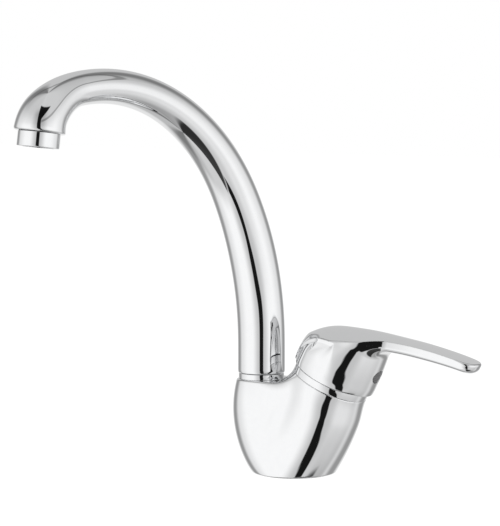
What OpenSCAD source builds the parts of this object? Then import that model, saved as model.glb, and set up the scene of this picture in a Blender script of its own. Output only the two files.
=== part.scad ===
// Single-lever bar faucet with a swan-neck swivel spout and its under-deck fixing set.
// Origin: centre of the base, on the deck. +Z up, +X towards the lever, body symmetric about Y = 0.

/* [Body] */
// Radius of the round base
base_r = 25.5; // [24:0.5:28]
// Height of the metal rim above the deck, taken up by the base gasket
rim_lift = 0.8; // [0.4:0.1:1.5]
// Height of the shoulder that the spout stands on
socket_z = 57.5; // [54:0.5:62]
// Distance of the spout axis behind the base centre
socket_x = 22.6; // [21.5:0.1:26]
// Outer radius of the spout branch at its shoulder
socket_r = 16.5; // [16:0.1:18]
// Distance of the cartridge mouth in front of the base centre
mouth_x = 24.2; // [23:0.1:27]
// Height of the centre of the cartridge mouth
mouth_z = 57; // [55:0.5:62]
// Lean of the cartridge axis towards the lever
mouth_tilt = 25; // [20:1:28]
// Outer radius of the cartridge branch at its mouth
mouth_r = 24.1; // [24:0.1:26]
// Radius of the hollow between the two branches
saddle_r = 9; // [7:0.5:10]
// Depth of the hollow under the base
recess_h = 6.2; // [4:0.1:8]
// Radius of the hollow under the base
recess_r = 17.5; // [16.5:0.1:18.5]

/* [Base gasket] */
// Inner radius of the base gasket
gasket_in_r = 19.5; // [19:0.1:20]
// Outer radius of the base gasket
gasket_out_r = 23.4; // [22:0.1:23.6]
// Thickness of the base gasket
gasket_h = 2.2; // [1.6:0.1:3]

/* [Spout] */
// Swing of the spout from straight back, towards -Y
spout_swing = 71; // [0:1:110]
// Radius of the spout tube at its foot
foot_r = 14.6; // [14:0.05:15]
// Radius of the spout tube at the top of the swan neck
neck_r = 10.1; // [9:0.1:12]
// Radius of the bulge above the aerator
nozzle_r = 14.8; // [13.5:0.1:16]
// Wall of the spout tube
tube_wall = 1.6; // [1.2:0.1:2]
// Height of the straight foot above the shoulder
foot_straight = 22.5; // [15:0.5:30]
// Bend radius of the rising part of the neck
rise_bend_r = 196; // [180:1:220]
// Bend radius of the shoulder of the neck
shoulder_bend_r = 134; // [120:1:150]
// Bend radius of the top of the neck
top_bend_r = 121.5; // [105:0.5:135]
// Bend radius of the neck as it starts to drop
drop_bend_r = 43; // [38:1:50]
// Bend radius of the neck into the nozzle
nozzle_bend_r = 20; // [19:0.5:25]
// Turn of the neck at the end of the rising part
rise_turn = 27.8; // [22:0.1:31]
// Turn of the neck at the end of its shoulder
shoulder_turn = 57.7; // [52:0.1:64]
// Turn of the neck at the end of its top
top_turn = 97.1; // [92:0.1:102]
// Turn of the neck at the end of its drop
drop_turn = 134.8; // [126:0.1:142]
// Turn of the neck at the nozzle, 180 pours straight down
nozzle_turn = 172; // [165:0.5:180]

/* [Spout bearing] */
// Radius of the socket that the spout turns in
bearing_r = 12; // [11.6:0.1:12.2]
// Depth of the spout socket below the shoulder
bearing_h = 27.5; // [26:0.5:28]
// Radius of the waterway through the spout foot
waterway_r = 7.6; // [6:0.1:8]
// Height of each glide bush
bush_h = 3; // [2.5:0.1:3.5]
// Thickness of each glide bush
bush_wall = 1.2; // [1:0.1:1.4]
// Thickness of the O-ring cord in the spout foot
oring_d = 2.4; // [2:0.1:2.6]
// Radius of the ring between shoulder and spout
collar_r = 14.1; // [13.6:0.1:14.7]
// Height of the ring between shoulder and spout
collar_h = 3.5; // [2.5:0.1:4.5]
// Radius of the screw that keeps the spout in
keeper_r = 2.5; // [2:0.1:2.5]
// Depth of the groove that the keeper screw runs in
keeper_groove = 1.5; // [1.2:0.1:2]

/* [Aerator] */
// Outer radius of the aerator shell
shell_r = 12; // [11.8:0.1:12.5]
// Height of the aerator shell
shell_h = 8.6; // [7.4:0.1:10]
// Radius of the thread that the shell screws on
stub_r = 10.95; // [10.8:0.05:11]
// Length of the thread that the shell screws on
stub_h = 5; // [4:0.1:5.4]
// Thickness of the sealing washer
washer_h = 1.2; // [1:0.1:1.3]
// Radius of the mesh disc
mesh_r = 7.9; // [7:0.1:8]
// Thickness of the mesh disc
mesh_h = 0.6; // [0.5:0.1:0.6]
// Spacing of the holes in the mesh
mesh_pitch = 2.2; // [2:0.1:2.6]

/* [Cartridge] */
// Radius of the cartridge housing
cartridge_r = 20; // [19.6:0.1:20.2]
// Depth of the cartridge seat below the mouth
cartridge_depth = 30; // [29:0.5:31]
// Wall of the cartridge housing
housing_wall = 3; // [2.6:0.1:3.2]
// Thickness of the cartridge base plate
plate_h = 5; // [4.5:0.1:5.2]
// Radius of the fixed ceramic disc
fixed_disc_r = 15; // [14:0.1:16]
// Radius of the moving ceramic disc
moving_disc_r = 10.5; // [10:0.1:11]
// Thickness of each ceramic disc
disc_h = 3; // [2.8:0.1:3.2]
// Thickness of the carrier that holds the moving disc
carrier_h = 5.4; // [5:0.1:5.6]
// Radius of the neck of the turret
turret_neck_r = 14.4; // [14:0.1:14.6]
// Radius of the thread of the cartridge nut
nut_r = 21.4; // [21.2:0.1:21.6]
// Height of the cartridge nut above the mouth
nut_top = 4; // [3:0.1:4.2]
// Height of the visible ring under the handle
cover_ring_h = 4.6; // [4.5:0.1:5]

/* [Lever movement] */
// Lift of the lever from closed to full flow
lift_max = 22; // [18:1:24]
// Depth of the lift pin below the mouth
pivot_depth = 6; // [5.5:0.1:6.5]
// Radius of the lift pin
pin_r = 2; // [1.8:0.1:2.2]
// Distance of the stem's ball below the lift pin
ball_arm = 9; // [8.8:0.1:9.2]
// Radius of the stem's ball
ball_r = 2.7; // [2.5:0.1:2.8]
// Width of the stem along the lift pin
stem_w = 8; // [7:0.1:9]
// Thickness of the stem
stem_t = 7; // [6:0.1:7.2]
// Height of the stem above the mouth
stem_top = 30; // [26:0.5:32]

/* [Handle] */
// Radius of the handle's dome
dome_r = 26.5; // [26.2:0.1:27]
// Height of the centre of the dome above the mouth
dome_z = 14; // [13:0.1:15]
// Radius of the skirt at its lower rim
rim_r = 25.6; // [25.4:0.1:26]
// Step of the visor over the back of the dome
visor_step = 1.2; // [0.6:0.1:1.4]
// Half width of the front of the handle
front_half_w = 13.5; // [12:0.5:15]
// Reach of the lever from the cartridge axis
lever_reach = 83.5; // [75:0.5:95]
// Width of the lever at the dome
lever_root_w = 34; // [30:1:38]
// Width of the lever at mid length
lever_mid_w = 23; // [20:0.5:26]
// Thickness of the lever
lever_t = 8; // [7:0.1:9]
// Radius of the index plug
plug_r = 3.9; // [3.4:0.1:4.2]
// Height of the index plug above the mouth
plug_z = 18.5; // [17:0.1:20]
// Radius of the grub screw in the handle
grub_r = 2.5; // [2:0.1:2.5]
// Length of the grub screw in the handle
grub_h = 10; // [8:0.5:12]

/* [Deck fixing] */
// Thickness of the deck that the faucet is shown clamped to
deck_t = 30; // [10:1:35]
// Radius of the fixing stud
stud_r = 4; // [4:1:4]
// Distance of the stud behind the base centre
stud_x = 11; // [10:0.1:11.5]
// Length of stud inside the body
stud_grip = 11; // [9:0.5:13]
// Length of stud left free under the nut
stud_free = 10; // [8:0.5:20]
// Radius of the horseshoe washers
shoe_r = 23; // [21:0.5:25]
// Thickness of the rubber horseshoe
shoe_rubber_h = 3; // [2:0.1:4]
// Thickness of the steel horseshoe
shoe_steel_h = 2.5; // [2:0.1:3]
// Height of the fixing nut
fix_nut_h = 6.5; // [6:0.1:8]
// Radius of the fixing nut over its corners
fix_nut_r = 7.5; // [6.5:0.1:9]
// Radius of the inlet threads
inlet_r = 5; // [5:1:5]
// Length of the inlet threads
inlet_h = 10; // [8:0.5:11]
// Distance of each inlet from the middle
inlet_y = 9; // [8.8:0.1:9.4]
// Distance of the inlets in front of the base centre
inlet_x = 7; // [6:0.1:7.5]

/* [Clearances] */
// Radial gap of parts that turn in each other
run_gap = 0.06; // [0.03:0.01:0.09]
// Gap between moving parts that don't bear on each other
free_gap = 0.3; // [0.3:0.05:0.4]
// Gap between fixed parts
seat_gap = 0.05; // [0.02:0.01:0.1]

/* [Hidden] */
$fn = 96;
cut = 1;                  // how far a cut runs past the face it opens
far = 400;                // past the whole faucet, for cuts by half spaces
chrome = [0.86, 0.87, 0.88];
brass = [0.78, 0.64, 0.33];
rubber = [0.12, 0.12, 0.13];
white_plastic = [0.9, 0.9, 0.87];
grey_plastic = [0.55, 0.56, 0.58];
ceramic = [0.93, 0.92, 0.9];
steel = [0.72, 0.73, 0.74];

// Spout route: turns and bend radii of its arcs, after the straight foot
turns = [0, rise_turn, shoulder_turn, top_turn, drop_turn, nozzle_turn];
bends = [rise_bend_r, shoulder_bend_r, top_bend_r, drop_bend_r, nozzle_bend_r];
foot_z = socket_z + collar_h + free_gap;
bend_z = socket_z + foot_straight;
foot_plate_h = 3;
tube_z = foot_z + foot_plate_h - 0.6;
function rad(a) = a * PI / 180;
// Length of arc i, and the route's length up to the start of arc i
function arc_l(i) = bends[i] * rad(turns[i + 1] - turns[i]);
function start_l(i) = i == 0 ? bend_z - tube_z : start_l(i - 1) + arc_l(i - 1);
// Start point [out, up] of arc i
function arc_start(i) = i == 0 ? [0, bend_z] : arc_point(i - 1, turns[i]);
function arc_point(i, a) = arc_start(i)
    + bends[i] * [cos(turns[i]) - cos(a), sin(a) - sin(turns[i])];
route_l = start_l(5);
nozzle_at = arc_start(5);
// Which arc a length s lies on, the turn there and the point there
function arc_of(s, i = 0) = i < 4 && s >= start_l(i + 1) ? arc_of(s, i + 1) : i;
function turn_at(s) = s <= start_l(0) ? 0
    : let (i = arc_of(s)) turns[i] + (s - start_l(i)) / bends[i] * 180 / PI;
function route_at(s) = s <= start_l(0) ? [0, tube_z + s]
    : let (i = arc_of(s)) arc_point(i, turn_at(s));
function ease(t) = let (c = min(1, max(0, t))) c * c * (3 - 2 * c);
// The tube narrows evenly up to the top of the neck and swells into the nozzle
narrow_from = 0.19;
narrow_to = 0.86;
function tube_r(s) = foot_r
    - (foot_r - neck_r) * ease((s / route_l - narrow_from) / (narrow_to - narrow_from))
    + (nozzle_r - neck_r) * ease((s / route_l - narrow_to) / (1 - narrow_to));
ring_step = 8;            // along the straight and gently bent part
drop_rings = 14;          // over the two tight bends at the nozzle
tube_stations = concat([for (s = [0:ring_step:start_l(3) - ring_step / 3]) s],
    [for (i = [0:drop_rings]) start_l(3) + i / drop_rings * (route_l - start_l(3))]);
tube_sides = 32;

// Spout bearing
spigot_r = bearing_r - free_gap;
running_r = bearing_r - run_gap;
socket_floor = socket_z - bearing_h;
spigot_floor = socket_floor + cut;
upper_bush_z = socket_z - bush_h - 1.5;
lower_bush_z = spigot_floor + 1.5;
upper_oring_z = upper_bush_z - 1.5 - oring_d / 2;
lower_oring_z = lower_bush_z + bush_h + 1.5 + oring_d / 2;
keeper_z = (upper_oring_z + lower_oring_z) / 2;
oring_ring_r = running_r - oring_d / 2;
keeper_tip = spigot_r - keeper_groove + free_gap;
keeper_head = bearing_r + 3.6;
passage_r = 3.6;          // way for the mixed water from the cartridge to the spout

// Body: the hollow between the branches is round about the cartridge axis, and dips a little
// under the shoulder at the back
slice = 0.01;
flare_in_r = mouth_r + free_gap;
flare_out_r = flare_in_r + saddle_r * (1 - sin(mouth_tilt));
flare_dip = 0.3;
flare_z = saddle_r * cos(mouth_tilt)
    + (socket_z - flare_dip - mouth_z - flare_out_r * sin(mouth_tilt)) / cos(mouth_tilt);

// Cartridge stack, measured along its axis from the mouth, upwards
seat_z = -cartridge_depth;
channel_w = 6;
plate_z = seat_z + plate_h;
// Ports of the base plate and the fixed disc: inlets over the body's two ways up, and one outlet
port_r = 2.7;
port_seal_w = 1.8;
port_seal_h = 1.6;
inlet_port_x = (inlet_x - mouth_x - seat_z * sin(mouth_tilt)) / cos(mouth_tilt);
outlet_port_x = 7.5;
inlet_ports = [[inlet_port_x, inlet_y], [inlet_port_x, -inlet_y]];
ports = concat(inlet_ports, [[outlet_port_x, 0]]);
moving_disc_z = plate_z + disc_h + seat_gap;
carrier_z = moving_disc_z + disc_h;
turret_z = carrier_z + carrier_h + 0.5;
shoulder_z = -8;
lip_z = -1;
lip_h = 2;
housing_in_r = cartridge_r - housing_wall;
housing_neck_r = housing_in_r + 1.6;
turret_r = housing_in_r - run_gap;
pivot_z = -pivot_depth;
ball_z = pivot_z - ball_arm;
carrier_bore_r = ball_r + free_gap + 0.05;
turret_top = nut_top - 0.5;
slot_back = stem_t / 2 / cos(lift_max) + (turret_top - pivot_z) * tan(lift_max) + 1.5 * free_gap;
slot_front = ball_arm * sin(lift_max) + ball_r + 2 * free_gap;
boss_w = stem_w + 2;
boss_r = pin_r + 2.6;
plug_depth = 2;
plug_x = dome_r - plug_depth - 0.3;

// Handle hollow: a ball about the lift pin, so that the ring stays clear at every lift
ring_reach = norm([mouth_r, cover_ring_h + pivot_depth]);
hollow_r = ring_reach + 0.45;
hollow_top = 15;
rim_z = cover_ring_h + free_gap;
front_x = dome_r - front_half_w;
// The body's neck is plain and round as far down as the lifted handle's rim reaches
rim_above_pivot = rim_z - pivot_z;
neck_h = rim_r * sin(lift_max) - rim_above_pivot * cos(lift_max) - pivot_z + 0.6;
neck_root = 0.5;          // how far the plain neck runs on into the branch
neck_step = 0.15;         // how far the branch stands proud of the neck

// Deck fixing
deck_under = -deck_t;
shoe_steel_z = deck_under - shoe_rubber_h - shoe_steel_h;
fix_nut_z = shoe_steel_z - fix_nut_h;
stud_end = fix_nut_z - stud_free;
inlet_top = rim_lift + recess_h;

// Places the children on the cartridge axis, with the mouth as zero
module on_mouth() {
    translate([mouth_x, 0, mouth_z]) rotate([0, mouth_tilt, 0]) children();
}

// Places the children on the spout axis, turned to the spout's rest direction
module on_spout() {
    translate([-socket_x, 0, 0]) rotate([0, 0, 180 + spout_swing]) children();
}

// Places the children at the nozzle, with +Z along the pour
module on_nozzle() {
    on_spout() translate([nozzle_at[0], 0, nozzle_at[1]]) rotate([0, nozzle_turn, 0]) children();
}

// A ring of outer radius ro, inner radius ri and height h
module ring(ro, ri, h) {
    difference() {
        cylinder(r = ro, h = h);
        translate([0, 0, -cut]) cylinder(r = ri, h = h + 2 * cut);
    }
}

// An O-ring whose cord of diameter d runs at radius r
module oring(r, d) {
    rotate_extrude() translate([r, 0]) circle(d = d, $fn = 32);
}

// Joins a list of equal rings of points into one closed skin
module loft(rings) {
    n = len(rings[0]);
    last = len(rings) - 1;
    points = [for (ring = rings) each ring];
    sides = [for (i = [0:last - 1], j = [0:n - 1]) let (k = (j + 1) % n)
        each [[i * n + j, i * n + k, (i + 1) * n + k], [i * n + j, (i + 1) * n + k, (i + 1) * n + j]]];
    ends = [[for (j = [n - 1:-1:0]) j], [for (j = [0:n - 1]) last * n + j]];
    polyhedron(points, concat(sides, ends), convexity = 6);
}

// Spout tube: circles square to the route, shrunk by a wall
module tube_skin(wall) {
    loft([for (s = tube_stations) let (p = route_at(s), a = turn_at(s), r = tube_r(s) - wall)
        [for (j = [0:tube_sides - 1]) let (b = -360 * j / tube_sides)
            [p[0] + r * cos(b) * cos(a), r * sin(b), p[1] - r * cos(b) * sin(a)]]]);
}

// The spout branch of the body: rounds that drift back and shrink as they rise
module spout_branch() {
    for (t = [0:0.125:1])
        translate([-socket_x * pow(sin(90 * t), 0.85), 0,
            rim_lift + (socket_z - rim_lift - slice) * t])
            cylinder(r = base_r - (base_r - socket_r) * pow(t, 1.4), h = slice, $fn = 64);
}

// The cartridge branch of the body: rounds that drift forward and lean over as they rise to the neck
module cartridge_branch() {
    for (t = [0.125:0.125:0.75])
        translate([mouth_x * pow(t, 0.8), 0, rim_lift + (mouth_z - rim_lift) * t])
            rotate([0, mouth_tilt * t, 0])
                cylinder(r = base_r - (base_r - mouth_r) * t, h = slice, $fn = 64);
    on_mouth() translate([0, 0, -neck_h]) cylinder(r = mouth_r + neck_step, h = slice, $fn = 64);
}

// Everything above the shoulder, apart from the neck and its flare
module saddle_cut() {
    difference() {
        translate([-far / 2, -far / 2, socket_z]) cube(far);
        on_mouth() rotate_extrude() polygon(concat([[0, far], [flare_in_r, far]],
            [for (a = [0:6.5:90 - mouth_tilt])
                [flare_in_r + saddle_r * (1 - cos(a)), flare_z - saddle_r * sin(a)]],
            [[flare_out_r, flare_z - saddle_r], [flare_out_r, -far], [0, -far]]));
    }
}

module body() {
    color(chrome) difference() {
        union() {
            difference() {
                hull() {
                    spout_branch();
                    cartridge_branch();
                }
                saddle_cut();
            }
            on_mouth() translate([0, 0, -neck_h - neck_root]) cylinder(r = mouth_r, h = neck_h + neck_root);
        }
        // spout socket and its passage to the cartridge
        translate([-socket_x, 0, socket_floor]) cylinder(r = bearing_r, h = bearing_h + cut);
        translate([-socket_x, 0, socket_floor + passage_r + cut]) rotate([0, 90, 0])
            cylinder(r = passage_r, h = socket_x, $fn = 48);
        // cartridge seat and thread of its nut
        on_mouth() {
            translate([0, 0, seat_z])
                cylinder(r = cartridge_r + 2 * seat_gap, h = cartridge_depth + cut);
            translate([2 - cartridge_r, -channel_w / 2, seat_z - channel_w / 2])
                cube([cartridge_r + outlet_port_x, channel_w, channel_w]);
            translate([0, 0, shoulder_z]) cylinder(r = nut_r + seat_gap, h = cut - shoulder_z);
        }
        // keeper screw
        translate([-socket_x, 0, keeper_z]) rotate([0, -90, 0])
            cylinder(r = keeper_r + seat_gap, h = socket_x + 30, $fn = 48);
        // underside: hollow, gasket groove, stud thread, inlets and their ways up
        translate([0, 0, rim_lift - cut]) cylinder(r = recess_r, h = recess_h + cut);
        translate([0, 0, rim_lift - cut])
            ring(gasket_out_r + seat_gap, gasket_in_r - seat_gap, gasket_h - rim_lift + cut);
        translate([-stud_x, 0, rim_lift])
            cylinder(r = stud_r + seat_gap, h = recess_h + stud_grip, $fn = 64);
        for (side = [-1, 1]) translate([inlet_x, side * inlet_y, rim_lift]) {
            cylinder(r = inlet_r, h = recess_h + inlet_h, $fn = 64);
            cylinder(r = inlet_r - 1.8, h = mouth_z - cartridge_depth + 8, $fn = 48);
        }
    }
}

module base_gasket() {
    color(rubber) ring(gasket_out_r, gasket_in_r, gasket_h - seat_gap);
}

module spout_collar_ring() {
    color(chrome) translate([-socket_x, 0, socket_z])
        ring(collar_r, bearing_r + seat_gap, collar_h);
}

module spout_keeper_screw() {
    color(steel) translate([-socket_x, 0, keeper_z]) rotate([0, -90, 0]) difference() {
        translate([0, 0, keeper_tip]) cylinder(r = keeper_r, h = keeper_head - keeper_tip, $fn = 48);
        translate([0, 0, keeper_head - 2]) cylinder(d = 2.5, h = 2 + cut, $fn = 6);
    }
}

// Groove in the spigot from height z, h high, down to radius r
module spigot_groove(z, h, r) {
    translate([0, 0, z]) ring(spigot_r + cut, r, h);
}

module spout() {
    color(chrome) {
        on_spout() difference() {
            union() {
                tube_skin(0);
                translate([0, 0, foot_z]) cylinder(r = foot_r + 0.1, h = foot_plate_h);
                translate([0, 0, spigot_floor]) cylinder(r = spigot_r, h = foot_z - spigot_floor + 1);
            }
            translate([0, 0, foot_plate_h]) intersection() {
                translate([0, 0, -foot_plate_h]) tube_skin(tube_wall);
                translate([-far / 2, -far / 2, foot_z]) cube(far);
            }
            translate([0, 0, spigot_floor - cut])
                cylinder(r = waterway_r, h = foot_z - spigot_floor + 8);
            for (z = [upper_bush_z, lower_bush_z])
                spigot_groove(z - seat_gap, bush_h + 2 * seat_gap, running_r - bush_wall - seat_gap);
            for (z = [upper_oring_z, lower_oring_z])
                spigot_groove(z - oring_d / 2 - 0.2, oring_d + 0.4, running_r - oring_d - seat_gap);
            spigot_groove(keeper_z - keeper_r - free_gap, 2 * (keeper_r + free_gap),
                spigot_r - keeper_groove);
        }
        on_nozzle() difference() {
            translate([0, 0, -4]) cylinder(r = stub_r, h = 4 + stub_h);
            translate([0, 0, -4 - cut]) cylinder(r = stub_r - 1.9, h = 5 + stub_h + cut);
        }
    }
}

module bush(z) {
    color(white_plastic) translate([-socket_x, 0, z]) ring(running_r, running_r - bush_wall, bush_h);
}

module spout_upper_bush() {
    bush(upper_bush_z);
}

module spout_lower_bush() {
    bush(lower_bush_z);
}

module spout_upper_oring() {
    color(rubber) translate([-socket_x, 0, upper_oring_z]) oring(oring_ring_r, oring_d);
}

module spout_lower_oring() {
    color(rubber) translate([-socket_x, 0, lower_oring_z]) oring(oring_ring_r, oring_d);
}

// Aerator, with heights measured along the pour from the end of the spout tube
shell_z = 0.4;
insert_z = stub_h + washer_h;
shell_end = shell_z + shell_h;
lip_w = 0.6;

module aerator_shell() {
    color(chrome) on_nozzle() translate([0, 0, shell_z]) difference() {
        cylinder(r = shell_r, h = shell_h);
        translate([0, 0, -cut]) cylinder(r = stub_r + seat_gap, h = insert_z - shell_z + cut);
        translate([0, 0, -cut]) cylinder(r = stub_r - 0.65, h = shell_h - lip_w + cut);
        cylinder(r = stub_r - 1.4, h = shell_h + cut);
    }
}

module aerator_washer() {
    color(rubber) on_nozzle() translate([0, 0, stub_h])
        ring(stub_r - seat_gap, stub_r - 2.4, washer_h);
}

module aerator_insert() {
    top = shell_end - lip_w - insert_z;
    color(grey_plastic) on_nozzle() translate([0, 0, insert_z]) difference() {
        union() {
            cylinder(r = stub_r - 0.7, h = top);
            translate([0, 0, -3.4]) cylinder(r = stub_r - 2.5, h = 3.5);
        }
        translate([0, 0, top - 1]) cylinder(r = mesh_r + seat_gap, h = 1 + cut);
        for (count = [6, 12]) for (i = [0:count - 1])
            rotate([0, 0, 360 * i / count]) translate([count / 2.3, 0, -4])
                cylinder(r = 0.9, h = 8, $fn = 24);
    }
}

module aerator_mesh() {
    reach = mesh_r - 1.1;
    rows = floor(reach / mesh_pitch);
    color(steel) on_nozzle() translate([0, 0, shell_end - lip_w - 1]) difference() {
        cylinder(r = mesh_r, h = mesh_h);
        for (i = [-rows:rows]) for (j = [-rows:rows])
            if (norm([i, j]) * mesh_pitch <= reach)
                translate([i * mesh_pitch, j * mesh_pitch, -cut])
                    cylinder(r = mesh_pitch * 0.36, h = mesh_h + 2 * cut, $fn = 16);
    }
}

module cover_ring() {
    color(chrome) on_mouth() difference() {
        cylinder(r = mouth_r, h = cover_ring_h);
        translate([0, 0, -cut]) cylinder(r = nut_r - 0.4, h = nut_top + 0.1 + cut);
        cylinder(r = turret_neck_r + 4.5, h = cover_ring_h + cut);
    }
}

module cartridge_nut() {
    color(brass) on_mouth() difference() {
        union() {
            translate([0, 0, shoulder_z]) cylinder(r = nut_r, h = -shoulder_z);
            intersection() {
                cylinder(r = nut_r - 0.7, h = nut_top);
                cylinder(r = nut_r + 1.6, h = nut_top, $fn = 6);
            }
        }
        translate([0, 0, shoulder_z - cut])
            cylinder(r = housing_neck_r + seat_gap, h = nut_top - shoulder_z + 2 * cut);
    }
}

module cartridge_housing() {
    color(white_plastic) on_mouth() difference() {
        union() {
            translate([0, 0, plate_z]) cylinder(r = cartridge_r, h = shoulder_z - plate_z);
            translate([0, 0, plate_z]) cylinder(r = housing_neck_r, h = lip_z + lip_h - plate_z);
        }
        translate([0, 0, plate_z - cut]) cylinder(r = housing_in_r, h = lip_z - plate_z + cut);
        cylinder(r = turret_neck_r + free_gap, h = 9);
        translate([0, 0, lip_z - cut]) cylinder(r = turret_neck_r + free_gap, h = lip_h + 2 * cut);
    }
}

module cartridge_base() {
    color(white_plastic) on_mouth() translate([0, 0, seat_z]) difference() {
        cylinder(r = cartridge_r, h = plate_h - seat_gap);
        for (p = ports) translate([p[0], p[1], -cut])
            cylinder(r = port_r, h = plate_h + 2 * cut, $fn = 48);
        for (p = inlet_ports) translate([p[0], p[1], -cut])
            cylinder(r = port_r + port_seal_w, h = cut + port_seal_h, $fn = 48);
    }
}

module cartridge_base_seals() {
    color(rubber) on_mouth() for (p = inlet_ports) translate([p[0], p[1], seat_z])
        ring(port_r + port_seal_w - seat_gap, port_r + 0.4, port_seal_h - seat_gap);
}

module fixed_ceramic_disc() {
    color(ceramic) on_mouth() translate([0, 0, plate_z]) difference() {
        cylinder(r = fixed_disc_r, h = disc_h);
        for (p = ports) translate([p[0], p[1], -cut])
            cylinder(r = port_r, h = disc_h + 2 * cut, $fn = 48);
    }
}

module moving_ceramic_disc() {
    color(ceramic) on_mouth() translate([0, 0, moving_disc_z]) difference() {
        cylinder(r = moving_disc_r, h = disc_h - seat_gap);
        translate([0, 0, -cut]) cylinder(r = 5.5, h = 1.6 + cut, $fn = 64);
    }
}

module disc_carrier() {
    color(grey_plastic) on_mouth() translate([0, 0, carrier_z]) difference() {
        cylinder(r = moving_disc_r + 0.5, h = carrier_h);
        translate([0, 0, ball_z - carrier_z - carrier_bore_r])
            cylinder(r = carrier_bore_r, h = 2 * carrier_h, $fn = 64);
    }
}

module cartridge_turret() {
    color(grey_plastic) on_mouth() difference() {
        union() {
            translate([0, 0, turret_z]) cylinder(r = turret_r, h = lip_z - free_gap - turret_z);
            translate([0, 0, turret_z]) cylinder(r = turret_neck_r, h = turret_top - turret_z);
        }
        translate([-slot_back, -boss_w / 2 - free_gap, turret_z - cut])
            cube([slot_back + slot_front, boss_w + 2 * free_gap, 2 * cut + turret_top - turret_z]);
        translate([0, 0, turret_z + 1.6]) ring(turret_r + cut, turret_r - 1.9, 2.2);
        translate([0, -turret_r - cut, pivot_z]) rotate([-90, 0, 0])
            cylinder(r = pin_r + 0.02, h = 2 * (turret_r + cut), $fn = 64);
    }
}

module turret_oring() {
    color(rubber) on_mouth() translate([0, 0, turret_z + 2.7]) oring(turret_r - 0.95, 1.9);
}

module stem_pin() {
    color(steel) on_mouth() translate([0, -turret_r + 0.6, pivot_z]) rotate([-90, 0, 0])
        cylinder(r = pin_r, h = 2 * (turret_r - 0.6), $fn = 64);
}

module stem() {
    color(steel) on_mouth() difference() {
        union() {
            translate([-stem_t / 2, -stem_w / 2, pivot_z])
                cube([stem_t, stem_w, stem_top - pivot_z]);
            translate([0, -boss_w / 2, pivot_z]) rotate([-90, 0, 0])
                cylinder(r = boss_r, h = boss_w);
            translate([0, 0, ball_z]) cylinder(r = ball_r - 0.9, h = ball_arm, $fn = 48);
            translate([0, 0, ball_z]) sphere(r = ball_r, $fn = 64);
        }
        translate([0, -boss_w, pivot_z]) rotate([-90, 0, 0])
            cylinder(r = pin_r + run_gap, h = 2 * boss_w, $fn = 64);
    }
}

// Lever: flattened rounds along a gentle rise, narrowing and thinning to a round tip
lever_from = -14;
lever_z = 34.3;
lever_rise = 0.375;
lever_droop = 0.0015;
lever_steps = 24;
function lever_mid_z(x) = lever_z + lever_rise * x - lever_droop * x * x;
function lever_slope(x) = atan(lever_rise - 2 * lever_droop * x);
function tip_round(t) = sqrt(max(0.02, 1 - pow(max(0, (t - 0.86) / 0.14), 2)));
function start_round(t) = sqrt(max(0.1, 1 - pow(max(0, (0.15 - t) / 0.15), 2)));
function lever_half_w(t) = (lever_mid_w + (lever_root_w - lever_mid_w) * (1 - ease(t / 0.6))
    - 3 * ease((t - 0.5) / 0.5)) / 2 * tip_round(t) * start_round(t);
function lever_half_t(t) = lever_t / 2 * (1 - 0.3 * ease((t - 0.5) / 0.5))
    * tip_round(t) * start_round(t);

module lever_blade() {
    loft([for (i = [0:lever_steps])
        let (u = i / lever_steps, t = 1 - pow(1 - u, 1.3),
            x = lever_from + (lever_reach - lever_from) * t,
            a = lever_slope(x), w = lever_half_w(t), h = lever_half_t(t))
        [for (j = [0:23]) let (b = -360 * j / 24, c = cos(b), s = sin(b),
            side = sign(c) * pow(abs(c), 0.75) * w, up = sign(s) * pow(abs(s), 0.75) * h)
            [x - up * sin(a), side, lever_mid_z(x) + up * cos(a)]]]);
}

// Everything below a plane that runs with the lever at x, up above its middle
module below_lever(x, up) {
    translate([x, 0, lever_mid_z(x) + up]) rotate([0, -lever_slope(x), 0])
        translate([-far / 2, -far / 2, -far]) cube(far);
}

module handle() {
    color(chrome) on_mouth() difference() {
        union() {
            // skirt, dome, visor over the back, front with the index plug, lever
            translate([0, 0, rim_z]) cylinder(r1 = rim_r, r2 = dome_r - visor_step, h = dome_z - rim_z);
            intersection() {
                below_lever(0, lever_t / 2);
                union() {
                    translate([0, 0, dome_z]) sphere(r = dome_r - visor_step);
                    intersection() {
                        translate([0, 0, dome_z]) sphere(r = dome_r);
                        translate([-dome_r, -50, dome_z - 8]) rotate([0, -42, 0]) cube([60, 100, 60]);
                    }
                }
            }
            intersection() {
                translate([front_x, 0, dome_z - 4]) cylinder(r = front_half_w, h = 60);
                below_lever(front_x, 0);
            }
            lever_blade();
        }
        intersection() {
            translate([0, 0, pivot_z]) sphere(r = hollow_r);
            translate([-far / 2, -far / 2, hollow_top - far]) cube(far);
        }
        translate([-stem_t / 2 - seat_gap, -stem_w / 2 - seat_gap, hollow_top - cut])
            cube([stem_t + 2 * seat_gap, stem_w + 2 * seat_gap, stem_top - hollow_top + cut + 0.3]);
        translate([0, 0, plug_z]) rotate([0, 90, 0]) {
            cylinder(r = grub_r + seat_gap, h = dome_r + 5, $fn = 48);
            translate([0, 0, plug_x]) cylinder(r = plug_r + seat_gap, h = dome_r - plug_x + cut, $fn = 48);
        }
    }
}

module handle_grub_screw() {
    color(steel) on_mouth() translate([stem_t / 2 + seat_gap, 0, plug_z]) rotate([0, 90, 0]) difference() {
        cylinder(r = grub_r, h = grub_h, $fn = 48);
        translate([0, 0, grub_h - 2.5]) cylinder(d = 2.5, h = 2.5 + cut, $fn = 6);
    }
}

module index_plug() {
    color(grey_plastic) on_mouth() translate([plug_x, 0, plug_z]) rotate([0, 90, 0]) {
        cylinder(r = plug_r, h = plug_depth, $fn = 48);
        translate([0, 0, -3]) cylinder(r = grub_r - 0.1, h = 3, $fn = 48);
    }
}

module fixing_stud() {
    color(steel) translate([-stud_x, 0, stud_end])
        cylinder(r = stud_r, h = inlet_top + stud_grip - 0.5 - stud_end, $fn = 64);
}

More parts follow.
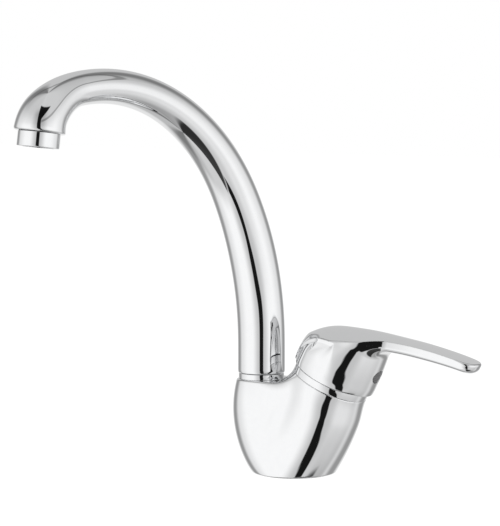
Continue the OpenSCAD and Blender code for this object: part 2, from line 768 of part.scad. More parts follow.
// Horseshoe that lets the hoses past and is held by the stud
slot_x = inlet_x + 5;
slot_r = norm([slot_x - inlet_x, inlet_y]) + inlet_r + free_gap;
module horseshoe(h) {
    difference() {
        cylinder(r = shoe_r, h = h);
        translate([-stud_x, 0, -cut]) cylinder(r = stud_r + 0.4, h = h + 2 * cut, $fn = 64);
        hull() for (x = [slot_x, shoe_r * 2])
            translate([x, 0, -cut]) cylinder(r = slot_r, h = h + 2 * cut, $fn = 64);
    }
}

module horseshoe_gasket() {
    color(rubber) translate([0, 0, deck_under - shoe_rubber_h]) horseshoe(shoe_rubber_h);
}

module horseshoe_plate() {
    color(steel) translate([0, 0, shoe_steel_z]) horseshoe(shoe_steel_h);
}

module fixing_nut() {
    color(brass) translate([-stud_x, 0, fix_nut_z]) difference() {
        cylinder(r = fix_nut_r, h = fix_nut_h, $fn = 6);
        translate([0, 0, -cut]) cylinder(r = stud_r + seat_gap, h = fix_nut_h + 2 * cut, $fn = 64);
    }
}

body();
base_gasket();
spout_collar_ring();
spout_keeper_screw();
spout();
spout_upper_bush();
spout_lower_bush();
spout_upper_oring();
spout_lower_oring();
aerator_shell();
aerator_washer();
aerator_insert();
aerator_mesh();
cover_ring();
cartridge_nut();
cartridge_housing();
cartridge_base();
cartridge_base_seals();
fixed_ceramic_disc();
moving_ceramic_disc();
disc_carrier();
cartridge_turret();
turret_oring();
stem_pin();
stem();
handle();
handle_grub_screw();
index_plug();
fixing_stud();
horseshoe_gasket();
horseshoe_plate();
fixing_nut();
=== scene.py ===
"""Chromed bar faucet: a forked body, a swan-neck spout and a long curved lever.

Lengths in the shape functions are millimetres, and angles in the world's formulas are degrees.
Meshes are made in metres.
"""
import bpy
import functools
import math
import numpy as np
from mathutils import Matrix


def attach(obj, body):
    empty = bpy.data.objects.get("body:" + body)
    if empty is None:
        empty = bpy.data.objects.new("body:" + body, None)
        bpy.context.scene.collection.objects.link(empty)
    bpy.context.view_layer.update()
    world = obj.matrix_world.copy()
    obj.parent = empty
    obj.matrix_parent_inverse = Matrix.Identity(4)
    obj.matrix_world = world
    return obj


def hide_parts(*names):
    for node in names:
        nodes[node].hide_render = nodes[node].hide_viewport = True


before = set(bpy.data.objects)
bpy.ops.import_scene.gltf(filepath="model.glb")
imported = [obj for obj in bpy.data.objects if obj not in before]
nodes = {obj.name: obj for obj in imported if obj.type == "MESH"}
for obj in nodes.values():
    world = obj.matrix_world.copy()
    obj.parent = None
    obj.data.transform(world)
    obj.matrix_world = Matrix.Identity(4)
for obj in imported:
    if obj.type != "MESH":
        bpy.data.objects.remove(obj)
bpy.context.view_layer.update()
scene = bpy.context.scene
MM = 0.001

# ---------------------------------------------------------------- places

AHEAD = np.array([1.0, 0.0, 0.0])
SIDE = np.array([0.0, 1.0, 0.0])
PLUMB = np.array([0.0, 0.0, 1.0])
TILT = math.radians(25)                   # lean of the cartridge axis
MOUTH = np.array([24.2, 0.0, 57.0])       # middle of the cartridge mouth
ACROSS = np.array([math.cos(TILT), 0.0, -math.sin(TILT)])
UP = np.array([math.sin(TILT), 0.0, math.cos(TILT)])
SOCKET_X, SOCKET_Z = -22.6, 57.5          # spout axis and shoulder
SWING = math.radians(180 + 71)            # direction of the spout, seen from above
OUT = np.array([math.cos(SWING), math.sin(SWING), 0.0])
BESIDE = np.cross(PLUMB, OUT)             # level, square to the spout
NECK_R = 24.1                             # radius of the cartridge branch and its ring
HOLE_EDGE = 0.25                          # rounding where a hole meets the outside


def from_mouth(points):
    """Points given on the cartridge axis, with the mouth as zero, as points of the whole faucet."""
    p = np.asarray(points, float)
    return MOUTH + p[..., :1] * ACROSS + p[..., 1:2] * SIDE + p[..., 2:3] * UP


def on_axis(x, y, z):
    """Point of the faucet as (across, side, up) from the cartridge mouth."""
    dx, dz = x - MOUTH[0], z - MOUTH[2]
    return dx * ACROSS[0] + dz * ACROSS[2], y, dx * UP[0] + dz * UP[2]


def ease(t):
    """Step from 0 to 1 whose slope and bend both start and end at nothing."""
    t = np.clip(t, 0.0, 1.0)
    return t ** 3 * (t * (6 * t - 15) + 10)


def swell(t):
    """Step from 0 to 1 on a cubic curve."""
    t = np.clip(t, 0.0, 1.0)
    return t * t * (3 - 2 * t)


# A field is below zero inside its shape, and about its distance in millimetres outside.

def all_of(*fields):
    """Part common to the fields, with sharp edges."""
    return functools.reduce(np.maximum, fields)


def any_of(*fields):
    """Union of the fields, with sharp inner corners."""
    return functools.reduce(np.minimum, fields)


def join_out(a, b, r):
    """Union of two fields, with a hollow fillet of radius r."""
    return np.maximum(r, np.minimum(a, b)) - np.hypot(np.maximum(r - a, 0), np.maximum(r - b, 0))


def cut_round(a, b, r):
    """Part common to two fields, with its edge rounded to radius r."""
    return np.minimum(-r, np.maximum(a, b)) + np.hypot(np.maximum(a + r, 0), np.maximum(b + r, 0))


# ---------------------------------------------------------------- meshes

def add_piece(name, verts, faces, material, body, node, normals=None):
    """Mesh object from points in millimetres and faces, riding on a body in place of a CAD node."""
    mesh = bpy.data.meshes.new(name)
    verts = np.asarray(verts, float) * MM
    faces = np.asarray(faces, np.int32)
    mesh.vertices.add(len(verts))
    mesh.vertices.foreach_set("co", verts.ravel())
    mesh.loops.add(faces.size)
    mesh.loops.foreach_set("vertex_index", faces.ravel())
    mesh.polygons.add(len(faces))
    mesh.polygons.foreach_set("loop_start", np.arange(0, faces.size, faces.shape[1], dtype=np.int32))
    mesh.update(calc_edges=True)
    mesh.polygons.foreach_set("use_smooth", np.full(len(mesh.polygons), True))
    if normals is not None:
        mesh.normals_split_custom_set_from_vertices(normals)
    mesh.materials.append(material)
    obj = bpy.data.objects.new(name, mesh)
    scene.collection.objects.link(obj)
    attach(obj, body)
    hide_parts(node)


def wrap_faces(rows, cols):
    """Quads of a grid that closes on itself both ways, for points row by row."""
    i = np.arange(rows)[:, None]
    j = np.arange(cols)[None, :]
    i2, j2 = (i + 1) % rows, (j + 1) % cols
    return np.stack([i * cols + j, i * cols + j2, i2 * cols + j2, i2 * cols + j], -1).reshape(-1, 4)


def round_corners(profile, radii, steps=7):
    """Closed profile with each corner replaced by a curve that starts and ends its radius away
    from it: a parabola with the corner as its middle control point."""
    p = np.asarray(profile, float)
    r = np.asarray(radii, float)
    before, after = np.roll(p, 1, 0) - p, np.roll(p, -1, 0) - p
    before /= np.linalg.norm(before, axis=1, keepdims=True)
    after /= np.linalg.norm(after, axis=1, keepdims=True)
    t = np.linspace(0, 1, steps)[None, :, None]
    a, b = (p + before * r[:, None])[:, None], (p + after * r[:, None])[:, None]
    return ((1 - t) ** 2 * a + 2 * t * (1 - t) * p[:, None] + t ** 2 * b).reshape(-1, 2)


def turned(profile, origin, axis, across, sides=160):
    """Closed profile of (radius, height) carried round an axis: origin + height * axis + radius * ray."""
    p = np.asarray(profile, float)
    third = np.cross(axis, across)
    a = np.linspace(0, 2 * np.pi, sides, endpoint=False)
    ray = np.cos(a)[:, None] * across + np.sin(a)[:, None] * third
    pts = origin + p[None, :, 1:2] * axis + p[None, :, :1] * ray[:, None, :]
    faces = wrap_faces(sides, len(p))
    area = np.sum(p[:, 0] * np.roll(p[:, 1], -1) - np.roll(p[:, 0], -1) * p[:, 1])
    return pts.reshape(-1, 3), faces[:, ::-1] if area > 0 else faces


def corner_of_cells(grid, corner):
    """Value of a grid at one corner (0 or 1 along each axis) of every cell."""
    return grid[tuple(slice(c, n - 1 + c) for c, n in zip(corner, grid.shape))]


def slope_of(field, points, reach):
    """Slope of a field at the points, from its values a short way to both sides along each axis."""
    return np.stack([field(*(points + d).T) - field(*(points - d).T) for d in np.eye(3) * reach],
                    1) / (2 * reach)


def skin_of(field, low, high, cell):
    """Quads over the surface where field(x, y, z) is zero, with the field's slope as normals.

    One point in each cell of the grid that the surface crosses, at the mean of the crossings of the
    cell's edges, then moved onto the surface along the field's slope.
    """
    least = 1e-7                          # no grid point lies on the surface itself
    low, high = np.asarray(low, float), np.asarray(high, float)
    count = np.ceil((high - low) / cell).astype(int) + 1
    ax = [low[i] + cell * np.arange(count[i]) for i in range(3)]
    f = np.broadcast_to(field(ax[0][:, None, None], ax[1][None, :, None], ax[2][None, None, :]), count)
    f = np.where(np.abs(f) < least, least, f)
    inside = f < 0
    corners = [(a, b, c) for a in (0, 1) for b in (0, 1) for c in (0, 1)]
    total = sum(corner_of_cells(inside, o).astype(np.int8) for o in corners)
    active = (total > 0) & (total < 8)
    index = np.full(active.shape, -1)
    index[active] = np.arange(active.sum())
    cells = np.argwhere(active)
    value = {o: corner_of_cells(f, o)[active] for o in corners}
    spot, hits = np.zeros((len(cells), 3)), np.zeros(len(cells))
    for axis in range(3):
        for start in corners:
            if start[axis]:
                continue
            end = tuple(1 if i == axis else start[i] for i in range(3))
            f0, f1 = value[start], value[end]
            cross = (f0 < 0) != (f1 < 0)
            at = np.array(start, float)[None, :].repeat(len(cells), 0)
            at[:, axis] += np.where(cross, f0 / np.where(cross, f0 - f1, 1), 0)
            spot += at * cross[:, None]
            hits += cross
    verts = low + cell * (cells + spot / hits[:, None])
    for _ in range(5):
        g = slope_of(field, verts, 0.02)
        step = field(*verts.T) / np.maximum((g * g).sum(1), 1e-3)
        move = step[:, None] * g
        size = np.linalg.norm(move, axis=1, keepdims=True)
        verts = verts - move * np.minimum(1, 0.4 * cell / np.maximum(size, 1e-9))
    faces = []
    for axis in range(3):
        u, v = (axis + 1) % 3, (axis + 2) % 3
        first = np.moveaxis(inside, (axis, u, v), (0, 1, 2))
        idx = np.moveaxis(index, (axis, u, v), (0, 1, 2))
        change = first[:-1, 1:-1, 1:-1] != first[1:, 1:-1, 1:-1]
        leaving = first[:-1, 1:-1, 1:-1][change]
        quad = np.stack([idx[:, :-1, :-1][change], idx[:, 1:, :-1][change],
                         idx[:, 1:, 1:][change], idx[:, :-1, 1:][change]], 1)
        quad[~leaving] = quad[~leaving][:, ::-1]
        faces.append(quad)
    g = slope_of(field, verts, 0.06)
    return verts, np.concatenate(faces), g / np.linalg.norm(g, axis=1, keepdims=True)


# ---------------------------------------------------------------- materials

class Tree:
    """Short ways to write a shader's node formulas."""

    def __init__(self, tree):
        self.tree = tree
        tree.nodes.clear()

    def node(self, kind, **settings):
        n = self.tree.nodes.new(kind)
        for key, value in settings.items():
            setattr(n, key, value)
        return n

    def put(self, value, socket):
        """Join a socket to an input, or write a constant into it."""
        if isinstance(value, bpy.types.NodeSocket):
            self.tree.links.new(value, socket)
        elif value is not None:
            socket.default_value = value

    def math(self, op, a, b=None, c=None):
        n = self.node("ShaderNodeMath", operation=op)
        for v, s in zip((a, b, c), n.inputs):
            self.put(v, s)
        return n.outputs[0]

    def times(self, a, b):
        return self.math("MULTIPLY", a, b)

    def rise(self, value, start, end, low=0.0, high=1.0):
        """Smooth step of value from low at start to high at end."""
        n = self.node("ShaderNodeMapRange", interpolation_type="SMOOTHSTEP")
        for v, s in zip((value, start, end, low, high), n.inputs):
            self.put(v, s)
        return n.outputs[0]

    def band(self, value, a, b, c, d):
        """1 between b and c, falling to 0 at a and d."""
        return self.times(self.rise(value, a, b), self.rise(value, c, d, 1.0, 0.0))

    def along(self, direction, vector):
        """How far a direction points along a vector."""
        n = self.node("ShaderNodeVectorMath", operation="DOT_PRODUCT")
        self.put(direction, n.inputs[0])
        n.inputs[1].default_value = vector
        return n.outputs["Value"]

    def noise(self, scale, detail, rough, stretch):
        m = self.node("ShaderNodeMapping")
        self.put(self.node("ShaderNodeTexCoord").outputs["Object"], m.inputs["Vector"])
        m.inputs["Scale"].default_value = stretch
        n = self.node("ShaderNodeTexNoise")
        self.put(m.outputs[0], n.inputs["Vector"])
        n.inputs["Scale"].default_value = scale
        n.inputs["Detail"].default_value = detail
        n.inputs["Roughness"].default_value = rough
        return n.outputs["Fac"]

    def mix(self, fac, a, b):
        """From colour a to colour b by fac."""
        n = self.node("ShaderNodeMix", data_type="RGBA")
        self.put(fac, n.inputs[0])
        self.put((*a, 1), n.inputs[6])
        self.put((*b, 1), n.inputs[7])
        return n.outputs[2]


FINE_GRAIN = 6000.0                       # scale of the bump's noise
BUMP_DEPTH = 0.0001                       # its height in metres


def finish_of(name, dark, light, rough, grain=900.0, stretch=(1, 1, 1), metal=0.0, bump=0.0):
    """Material whose colour and roughness drift between two values with a noise, plus a fine bump."""
    material = bpy.data.materials.new(name)
    material.use_nodes = True
    t = Tree(material.node_tree)
    shader = t.node("ShaderNodeBsdfPrincipled")
    t.put(shader.outputs[0], t.node("ShaderNodeOutputMaterial").inputs["Surface"])
    drift = t.noise(grain, 3.0, 0.55, stretch)
    t.put(t.mix(drift, dark, light), shader.inputs["Base Color"])
    t.put(t.rise(drift, 0.25, 0.75, rough[0], rough[1]), shader.inputs["Roughness"])
    shader.inputs["Metallic"].default_value = metal
    if bump:
        b = t.node("ShaderNodeBump")
        b.inputs["Strength"].default_value = bump
        b.inputs["Distance"].default_value = BUMP_DEPTH
        t.put(t.noise(FINE_GRAIN, 2.0, 0.5, stretch), b.inputs["Height"])
        t.put(b.outputs[0], shader.inputs["Normal"])
    return material


chrome = finish_of("polished_chrome", (0.87, 0.875, 0.885), (0.91, 0.915, 0.92), (0.018, 0.05),
                   grain=260.0, metal=1.0)
nickel = finish_of("plated_steel", (0.55, 0.55, 0.56), (0.68, 0.68, 0.69), (0.22, 0.38),
                   grain=1400.0, stretch=(1, 1, 0.15), metal=1.0, bump=0.25)
brass = finish_of("turned_brass", (0.66, 0.47, 0.2), (0.78, 0.6, 0.3), (0.2, 0.34),
                  grain=1200.0, stretch=(1, 1, 0.2), metal=1.0, bump=0.2)
rubber = finish_of("black_rubber", (0.018, 0.018, 0.02), (0.035, 0.035, 0.038), (0.55, 0.75), bump=0.3)
acetal = finish_of("white_acetal", (0.74, 0.74, 0.71), (0.82, 0.82, 0.79), (0.35, 0.5), bump=0.1)
grey_plastic = finish_of("grey_plastic", (0.16, 0.165, 0.17), (0.21, 0.215, 0.22), (0.38, 0.52),
                         bump=0.15)
plug_grey = finish_of("plug_grey", (0.2, 0.2, 0.205), (0.26, 0.26, 0.265), (0.3, 0.42), bump=0.1)
ceramic = finish_of("lapped_ceramic", (0.82, 0.8, 0.76), (0.88, 0.87, 0.84), (0.12, 0.2), bump=0.05)
mesh_steel = finish_of("mesh_steel", (0.4, 0.4, 0.41), (0.55, 0.55, 0.56), (0.25, 0.4), metal=1.0)

for names, material in (
        (("spout_keeper_screw", "stem_pin", "stem", "handle_grub_screw", "fixing_stud",
          "horseshoe_plate"), nickel),
        (("cartridge_nut", "fixing_nut"), brass),
        (("base_gasket", "spout_upper_oring", "spout_lower_oring", "aerator_washer",
          "cartridge_base_seals", "turret_oring", "horseshoe_gasket"), rubber),
        (("spout_upper_bush", "spout_lower_bush", "cartridge_housing", "cartridge_base"), acetal),
        (("aerator_insert", "disc_carrier", "cartridge_turret", "index_plug"), grey_plastic),
        (("fixed_ceramic_disc", "moving_ceramic_disc"), ceramic),
        (("aerator_mesh",), mesh_steel),
        (("body", "spout", "spout_collar_ring", "aerator_shell", "cover_ring", "handle"), chrome)):
    for name in names:
        for slot in nodes[name].material_slots:
            slot.material = material

# ---------------------------------------------------------------- body

BASE_R = 25.35                            # radius of the round base
BRANCH_LOW, BRANCH_RISE = 0.15, 57.35     # heights over which the outline forks
VALLEY_DEPTH, VALLEY_WIDTH = 2.2, 6
SHOULDER_FILLET = 9.0                     # hollow between the shoulder and the cartridge branch
STUD_X = -11
INLET_X, INLET_Y = 7, 9
KEEPER_Z = 44.25                          # screw that keeps the spout in its socket


def belt(x, ay, left_r, right_r, span):
    """Distance to a belt round two wheels, one at zero and one at span: round the left wheel, round
    the right wheel, and on the straight line that touches both."""
    slope = np.clip((left_r - right_r) / span, -0.9, 0.9)
    level = np.sqrt(1 - slope ** 2)
    k = -slope * ay + level * x
    return np.where(k < 0, np.hypot(x, ay) - left_r,
                    np.where(k > level * span, np.hypot(x - span, ay) - right_r,
                             level * ay + slope * x - left_r))


def body_field(x, y, z):
    """Forked casting.

    Wall: at each height the outline is a round about the spout side, a round about the cartridge
    side and the two straight lines that touch both, with a shallow valley between the branches.
    Near the mouth it turns into the neck, a round about the leaning axis. Top: the shoulder plane,
    joined to the neck by a hollow fillet.
    """
    t = np.clip((z - BRANCH_LOW) / BRANCH_RISE, 0, 1.1)
    left = SOCKET_X * np.sin(np.pi / 2 * np.minimum(t, 1)) ** 0.8
    left_r = BASE_R - 10.12 * t ** 1.5
    right = 38.13 * t - 14.32 * t ** 2 - 1.22 * t ** 3
    right_r = BASE_R - 1.575 * t + 1.56 * t ** 2
    ay = np.abs(y)
    wall = belt(x - left, ay, left_r, right_r, np.maximum(right - left, 1e-3))
    valley = x - 6.5 + 0.39 * (53 - z)
    wall = wall + (VALLEY_DEPTH * np.exp(-(valley / VALLEY_WIDTH) ** 2 / 2)
                   * ease((z - 4) / 38) * ease((ay - 6) / 10))
    u, v, w = on_axis(x, y, z)
    neck = np.hypot(u, v) - NECK_R
    blend = ease((w + 19.8) / 27.8)
    wall = wall * (1 - blend) + neck * blend
    solid = cut_round(wall, join_out(z - SOCKET_Z, neck, SHOULDER_FILLET), 1.2)
    solid = cut_round(solid, w, 0.5)
    solid = cut_round(solid, 0.35 - z, 0.9)
    spout_r = np.hypot(x - SOCKET_X, y)
    base_r = np.hypot(x, y)
    inlet_r = np.hypot(x - INLET_X, ay - INLET_Y)
    holes = any_of(
        all_of(spout_r - 12.0, 30.0 - z),                            # spout's socket
        all_of(neck + 4.0, -30.0 - w),                               # cartridge seat
        all_of(neck + 2.65, -8.0 - w),                               # nut's thread
        all_of(base_r - 17.5, z - 7.0),                              # hollow base
        all_of(np.abs(base_r - 21.45) - 2.0, z - 2.2),               # gasket's groove
        all_of(np.hypot(x - STUD_X, y) - 4.05, z - 18.0),            # stud's hole
        all_of(inlet_r - 5.0, z - 17.0),                             # inlet threads
        all_of(inlet_r - 3.2, z - 35.5),                             # waterways
        all_of(np.hypot(y, z - KEEPER_Z) - 2.55, x - SOCKET_X, -60 - x))
    return cut_round(solid, -holes, HOLE_EDGE)


verts, faces, normals = skin_of(body_field, (-41, -28, -1), (49, 28, 70), 0.62)
add_piece("body_casting", verts, faces, chrome, "root", "body", normals)

# ---------------------------------------------------------------- rings

ring = round_corners([(12.05, 0), (14.1, 0), (14.1, 3.5), (12.05, 3.5)], [0.2, 0.3, 0.55, 0.2])
verts, faces = turned(ring, np.array([SOCKET_X, 0, SOCKET_Z]), PLUMB, AHEAD)
add_piece("collar_ring", verts, faces, chrome, "root", "spout_collar_ring")

ring = round_corners([(18.9, 4.15), (21, 4.15), (21, 0), (NECK_R, 0), (NECK_R, 4.6), (18.9, 4.6)],
                     [0.1, 0.1, 0.2, 0.35, 0.5, 0.1])
verts, faces = turned(ring, MOUTH, UP, ACROSS, 240)
add_piece("cover_band", verts, faces, chrome, "root", "cover_ring")

# ---------------------------------------------------------------- spout

FOOT_Z, STRAIGHT_TOP = 61.3, 80.0         # heights where the tube and its first bend start
TURNS = np.radians([0, 27.8, 57.7, 97.1, 134.8, 172])     # heading from plumb between the bends
BENDS = np.array([196.0, 134.0, 121.5, 43.0, 20.0])       # radius of each bend
MOUTH_OUT, MOUTH_UP = 180.191, 216.483    # end of the spout, from its axis and above the deck
ARCS = np.diff(TURNS) * BENDS
LENGTH = STRAIGHT_TOP - FOOT_Z + ARCS.sum()
NOZZLE_TURN = TURNS[-1]
SPIGOT_Z, SPIGOT_R, WATERWAY_R = 31, 11.7, 7.6
FOOT_R = 14.6
THREAD_R, CORE_R = 10.95, 9.05            # aerator's thread on the nozzle and the bore in it


def neck_route(s):
    """Middle line of the spout at lengths s from its foot: a straight foot, then five bends of falling
    radius, with the heading smoothed where one bend meets the next. Returns out, up and heading."""
    step, margin, pad = 0.5, 40, 24
    fine = np.arange(-margin, LENGTH + margin, step)
    stops = STRAIGHT_TOP - FOOT_Z + np.concatenate([[0], np.cumsum(ARCS)])
    raw = np.pad(np.interp(fine, stops, TURNS), pad, mode="edge")
    soft, firm = (np.convolve(raw, np.convolve(np.ones(n), np.ones(n)) / n ** 2,
                              mode="same")[pad:-pad] for n in (25, 9))
    near = ease((fine - (LENGTH - 62)) / 24)
    head = soft * (1 - near) + firm * near
    out = np.cumsum(np.sin(head)) * step
    up = np.cumsum(np.cos(head)) * step
    out -= np.interp(0.0, fine, out)
    up += FOOT_Z - np.interp(0.0, fine, up)
    pull = ease(fine / LENGTH)
    out = out + (MOUTH_OUT - np.interp(LENGTH, fine, out)) * pull
    up = up + (MOUTH_UP - np.interp(LENGTH, fine, up)) * pull
    return np.interp(s, fine, out), np.interp(s, fine, up), np.interp(s, fine, head)


def tube_radius(s):
    """Outer radius: falls evenly to the top of the neck, then swells into the nozzle."""
    t = np.asarray(s) / (LENGTH + 2.4)
    return FOOT_R - 4.5 * swell((t - 0.19) / 0.67) + 4.98 * swell((t - 0.86) / 0.14)


def carried(stations, radii, sides=112):
    """Rings square to the spout's route at the stations, with the radii, closed into one skin."""
    s, r = np.asarray(stations, float), np.asarray(radii, float)
    out, up, head = neck_route(s)
    a = np.linspace(0, 2 * np.pi, sides, endpoint=False)
    mid = np.array([SOCKET_X, 0, 0]) + out[:, None] * OUT + up[:, None] * PLUMB
    inward = np.cos(head)[:, None] * OUT - np.sin(head)[:, None] * PLUMB
    pts = (mid[:, None] + r[:, None, None] * (np.cos(a)[None, :, None] * inward[:, None]
                                              + np.sin(a)[None, :, None] * BESIDE))
    return pts.reshape(-1, 3), wrap_faces(len(s), sides)


def groove(z, depth, height):
    """A groove round the spigot from z up, as (station, radius) corners."""
    low, high, floor_r = z - FOOT_Z, z + height - FOOT_Z, SPIGOT_R - depth
    return [(low, SPIGOT_R), (low, floor_r), (high, floor_r), (high, SPIGOT_R)]


skin = [(SPIGOT_Z - FOOT_Z, SPIGOT_R)]
for z, depth, height in ((32.45, 1.01, 3.1),      # lower bush
                         (36.8, 2.21, 2.8),       # lower O-ring
                         (41.45, 1.5, 5.6),       # keeper screw
                         (48.9, 2.21, 2.8),       # upper O-ring
                         (52.95, 1.01, 3.1)):     # upper bush
    skin += groove(z, depth, height)
# foot of the tube, then the tube itself
skin += [(-0.001, SPIGOT_R), (0.0, 14.0), (0.12, 14.35), (0.5, FOOT_R)]
run = np.arange(2.0, LENGTH - 1.3, 1.3)
skin += list(zip(run, tube_radius(run)))
# rounded lip, its inner edge, and the threaded end inside the aerator cup
lip_r = float(tube_radius(LENGTH - 0.4))
skin += [(LENGTH + past, radius) for past, radius in (
    (-0.9, lip_r), (-0.45, lip_r - 0.1), (-0.05, lip_r - 0.35), (0.22, lip_r - 0.75),
    (0.3, lip_r - 1.2), (0.3, 12.5), (0.15, 12.25), (-0.5, 12.2), (-0.55, 12.1),
    (-0.55, THREAD_R), (4.95, THREAD_R), (5, THREAD_R - 0.05), (5, CORE_R + 0.05),
    (4.95, CORE_R), (-4, CORE_R))]
# back through the waterway
back = np.arange(LENGTH - 6, 3.0, -2.5)
skin += list(zip(back, np.minimum(tube_radius(back) - 1.6, CORE_R + (LENGTH - back) * 0.3)))
skin += [(2.7, WATERWAY_R), (SPIGOT_Z - FOOT_Z, WATERWAY_R)]
verts, faces = carried(*zip(*skin))
add_piece("swan_neck", verts, faces[:, ::-1], chrome, "spout", "spout")

pour = math.sin(NOZZLE_TURN) * OUT + math.cos(NOZZLE_TURN) * PLUMB
nozzle = np.array([SOCKET_X, 0, MOUTH_UP]) + MOUTH_OUT * OUT
cup = round_corners([(11.0, 0.4), (12.35, 0.4), (12.35, 9.0), (9.55, 9.0), (9.55, 8.4), (10.3, 8.4),
                     (10.3, 6.2), (11.0, 6.2)], [0.1, 0.25, 0.45, 0.2, 0.05, 0.05, 0.05, 0.05])
verts, faces = turned(cup, nozzle, pour, BESIDE)
add_piece("aerator_cup", verts, faces, chrome, "spout", "aerator_shell")

# ---------------------------------------------------------------- handle

DOME_R, DOME_Z = 26.4, 14                 # ball of the dome and the height where it leaves the upright
SKIRT_Z = 4.9                             # lower edge
RIM_R, RIM_Z = 24.3, 5                    # circle of the visor's rim, seen from the side
RIM_STEP, RIM_RUN = 1.0, 3.0              # how deep and how softly the dome steps in below it
BLADE_DEPTH = 7.3
NOSE_X, NOSE_LENGTH, NOSE_POWER = 73.5, 8.6, 2.3
SCREW_Z = 18.5                            # height of the grub screw and the plug
PLUG_STRETCH = 1.45                       # the plug is an oval, wider than high


def crest(x):
    """Height of the lever's top along its middle: a gentle rise that flattens out, rounding down
    over the back of the dome."""
    return (38.5 + 0.368 * x - 0.00155 * x * x - 0.00065 * np.maximum(0, -4 - x) ** 3
            - 1.2 * ease((x - 5) / 35))


def half_width(x):
    """Half the width of the lever: wide at the dome, narrowing to an even blade."""
    return 9.8 + 9.2 / (1 + np.exp(np.clip((x - 22) / 11, -9, 9)))


def handle_field(x, y, z):
    """Dome with a visor over its back, an upright round front, and a long blade.

    The top of everything is one arched sheet. The dome is a ball that turns into an upright round
    towards the front. Inside a circle seen from the side the ball steps in, which leaves the visor
    standing over it; the step fades out towards the front. The blade has an upright edge that
    rounds in below, and a blunt round tip.
    """
    ay = np.abs(y)
    rho = np.hypot(x, y)
    ahead = x / np.maximum(rho, 1e-6)
    arch = 0.0125 - 0.0065 * ease((x - 4) / 40)
    sheet = (z - (crest(x) - arch * y * y)) * 0.93
    # dome and visor
    height = (z - DOME_Z + np.hypot(z - DOME_Z, 3)) / 2
    below = RIM_R - np.hypot(np.minimum(x, 0), z - RIM_Z)
    sunk = ease(below / RIM_RUN + 0.5) * ease(0.5 - (x + 0.3) / (1.6 + np.maximum(below, 0)))
    wave = 0.6 * (4 * ahead ** 3 - 3 * ahead) * ease((ahead + 0.6) / 0.9)
    full = DOME_R - RIM_STEP * sunk - 0.45 * ease((10 - z) / 9) + wave
    steep = 1 - 0.27 * ease((ahead + 0.9) / 0.9) - 0.35 * ease((ahead + 0.1) / 0.9)
    dome = np.sqrt(rho ** 2 + (steep * height) ** 2) - full
    # blade
    hw = half_width(x)
    nose = np.maximum(0, x - NOSE_X) / NOSE_LENGTH * hw
    plan = (ay ** NOSE_POWER + nose ** NOSE_POWER + 1e-9) ** (1 / NOSE_POWER) - hw
    under = (crest(x) - arch * hw ** 2 - BLADE_DEPTH + 0.9 * ease((x - 40) / 45) - z) * 0.95
    blade = all_of(cut_round(plan, under, 3.6), -8 - x)
    solid = join_out(dome, blade, 6.0)
    solid = cut_round(solid, sheet, 0.55 + 1.1 * ease((x - 66) / 14))
    solid = cut_round(solid, SKIRT_Z - z, 0.7)
    holes = any_of(
        all_of(np.sqrt(x * x + y * y + (z + 6) ** 2) - 26.75, z - 15),          # over ring and nut
        all_of(np.abs(x) - 3.55, ay - 4.05, z - 30.3, 14 - z),                  # stem's slot
        all_of(np.hypot(y, z - SCREW_Z) - 2.55, -x),                            # screw's bore
        all_of(np.hypot(y / PLUG_STRETCH, z - SCREW_Z) - 4.2, 24.2 - x))        # plug's seat
    return cut_round(solid, -holes, HOLE_EDGE)


verts, faces, normals = skin_of(handle_field, (-28, -28, 3), (86, 28, 62), 0.47)
add_piece("lever_handle", from_mouth(verts), faces, chrome, "lever", "handle",
          from_mouth(normals) - MOUTH)

# plug: a turned button, stretched to an oval, with its edge bent back along the dome
plug = [(1e-4, 0), (2.4, 0), (2.4, 3.0), (4.1, 3.0), (4.1, 5.2), (3.95, 5.45), (3.6, 5.6),
        (1.9, 5.85), (1e-4, 5.95)]
verts, faces = turned(plug, np.zeros(3), AHEAD, SIDE, 64)
bent = verts[:, 0] - 0.03 * (PLUG_STRETCH * verts[:, 1]) ** 2 * (verts[:, 0] > 4)
verts = np.stack([21.2 + bent, PLUG_STRETCH * verts[:, 1], SCREW_Z + verts[:, 2]], 1)
add_piece("index_button", from_mouth(verts), faces, plug_grey, "lever", "index_plug")

# ---------------------------------------------------------------- stage

bpy.ops.mesh.primitive_plane_add(size=6.0, location=(0, 0, 0))
floor = bpy.context.object
floor.name = "floor"
material = bpy.data.materials.new("floor_white")
material.use_nodes = True
t = Tree(material.node_tree)
path = t.node("ShaderNodeLightPath")
seen = t.math("MAXIMUM", path.outputs["Is Camera Ray"],
              t.math("MAXIMUM", path.outputs["Is Glossy Ray"], path.outputs["Is Transmission Ray"]))
matt = t.node("ShaderNodeBsdfDiffuse")
t.put(t.mix(seen, (0.86, 0.86, 0.86), (0.3, 0.3, 0.3)), matt.inputs["Color"])
glow = t.node("ShaderNodeEmission")
glow.inputs["Color"].default_value = (1, 1, 1, 1)
t.put(t.times(seen, 0.92), glow.inputs["Strength"])
both = t.node("ShaderNodeAddShader")
t.put(matt.outputs[0], both.inputs[0])
t.put(glow.outputs[0], both.inputs[1])
t.put(both.outputs[0], t.node("ShaderNodeOutputMaterial").inputs["Surface"])
floor.data.materials.append(material)
floor.visible_glossy = False

# camera: long lens, 26 degrees round from the front, looking down 5.5 degrees
VIEW = math.radians(26)
camera = bpy.data.objects.new("camera", bpy.data.cameras.new("camera"))
scene.collection.objects.link(camera)
camera.data.sensor_fit = "HORIZONTAL"
camera.data.sensor_width = 36
camera.data.lens = 216
camera.data.clip_end = 20
camera.location = (0.7780, -1.6577, 0.3061)
camera.rotation_euler = (math.radians(90 - 5.5), 0, VIEW)
scene.camera = camera

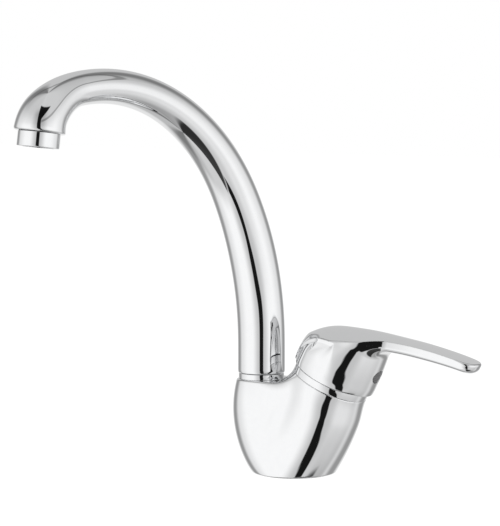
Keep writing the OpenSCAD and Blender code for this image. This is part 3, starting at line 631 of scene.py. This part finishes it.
# world: a white tent with a dark slit behind the camera, grey seams at its back and a dim roof.
# turn is the angle round from the camera's side, to the right, and tall the angle above the level.
world = bpy.data.worlds.new("tent")
scene.world = world
world.use_nodes = True
t = Tree(world.node_tree)
way = t.node("ShaderNodeTexCoord").outputs["Generated"]
right = t.along(way, (math.cos(VIEW), math.sin(VIEW), 0))
toward = t.along(way, (math.sin(VIEW), -math.cos(VIEW), 0))
turn = t.times(t.math("ARCTAN2", right, toward), 180 / math.pi)
tall = t.times(t.math("ARCSINE", t.along(way, (0, 0, 1))), 180 / math.pi)
round_to = t.math("ABSOLUTE", turn)


def dimmed(light, amount, mask):
    """light lowered by amount where mask is 1."""
    return t.times(light, t.math("SUBTRACT", 1.0, t.times(amount, mask)))


# walls: brightest at the front, dimmer at the sides, with a soft seam at each rear corner
light = dimmed(1.045, 0.2, t.rise(round_to, 68, 112))
light = dimmed(light, 0.6, t.band(round_to, 108, 132, 144, 164))
# up to the ceiling: a slow fall on the left, a quick one on the right, and the lit table's edge behind
on_right = t.times(t.rise(turn, -20, 30), t.rise(round_to, 150, 135))
on_left = t.times(t.math("SUBTRACT", 1.0, on_right), t.rise(round_to, 165, 150))
light = dimmed(light, 0.4, t.times(t.rise(tall, 8, 50), on_left))
light = dimmed(light, 0.28, t.times(t.rise(tall, 4, 26), on_right))
light = dimmed(light, 0.12, t.times(t.rise(tall, 27, 31), on_right))
light = dimmed(light, 0.3, t.times(t.rise(round_to, 150, 165), t.rise(tall, 1, 8)))
# dusk round the slit
light = dimmed(light, 0.42, t.times(t.rise(round_to, 46, 10), t.band(tall, -60, -40, 40, 60)))
light = dimmed(light, 0.2, t.times(t.band(turn, 5, 30, 95, 125), t.rise(tall, -8, -22)))
# seam between the walls and the ceiling, rising towards the back
edge = t.math("ABSOLUTE", t.math("SUBTRACT", tall, t.rise(round_to, 80, 170, 27, 73)))
light = dimmed(light, 0.5, t.times(t.rise(edge, 3.2, 1.0),
                                   t.math("MAXIMUM", t.rise(turn, 6, 12), t.rise(round_to, 100, 130))))
# below
light = dimmed(light, 0.35, t.rise(tall, -44, -60))
light = dimmed(light, 0.25, t.times(t.band(turn, 20, 45, 95, 120), t.rise(tall, -26, -46)))
light = dimmed(light, 0.93, t.times(t.band(turn, -14, -9, 60, 72), t.rise(tall, -49, -53)))
# the slit itself: leaning, and spreading to the right at its top
lean = t.math("ADD", t.rise(tall, -5, -16, 0, 2.8), t.rise(tall, -28, -42, 0, 4.5))
lean = t.math("SUBTRACT", lean, t.times(4.0, t.band(tall, -36, -29, -24, -16)))
spread = t.math("ADD", t.rise(tall, -5, -16, 7.8, 10.2), t.rise(tall, 29, 50, 0, 46))
off = t.math("SUBTRACT", turn, lean)
gap = t.math("MAXIMUM", t.math("SUBTRACT", -9.8, off), t.math("SUBTRACT", off, spread))
top = t.rise(t.math("MULTIPLY_ADD", turn, 0.27, tall), 60, 57)
light = dimmed(light, 0.985, t.times(t.rise(gap, 1.6, -1.6), t.times(top, t.rise(tall, -51, -48))))
# plain white to the camera and through glass, the tent to everything else
path = t.node("ShaderNodeLightPath")
plain = t.math("MAXIMUM", path.outputs["Is Camera Ray"], path.outputs["Is Transmission Ray"])
tent = t.times(light, t.math("MULTIPLY_ADD", path.outputs["Is Glossy Ray"], 0.02, 0.98))
strength = t.math("MAXIMUM", plain, t.times(t.math("SUBTRACT", 1.0, plain), tent))
back = t.node("ShaderNodeBackground")
back.inputs["Color"].default_value = (1, 1, 1, 1)
t.put(strength, back.inputs["Strength"])
t.put(back.outputs[0], t.node("ShaderNodeOutputWorld").inputs["Surface"])

scene.view_settings.view_transform = "Standard"
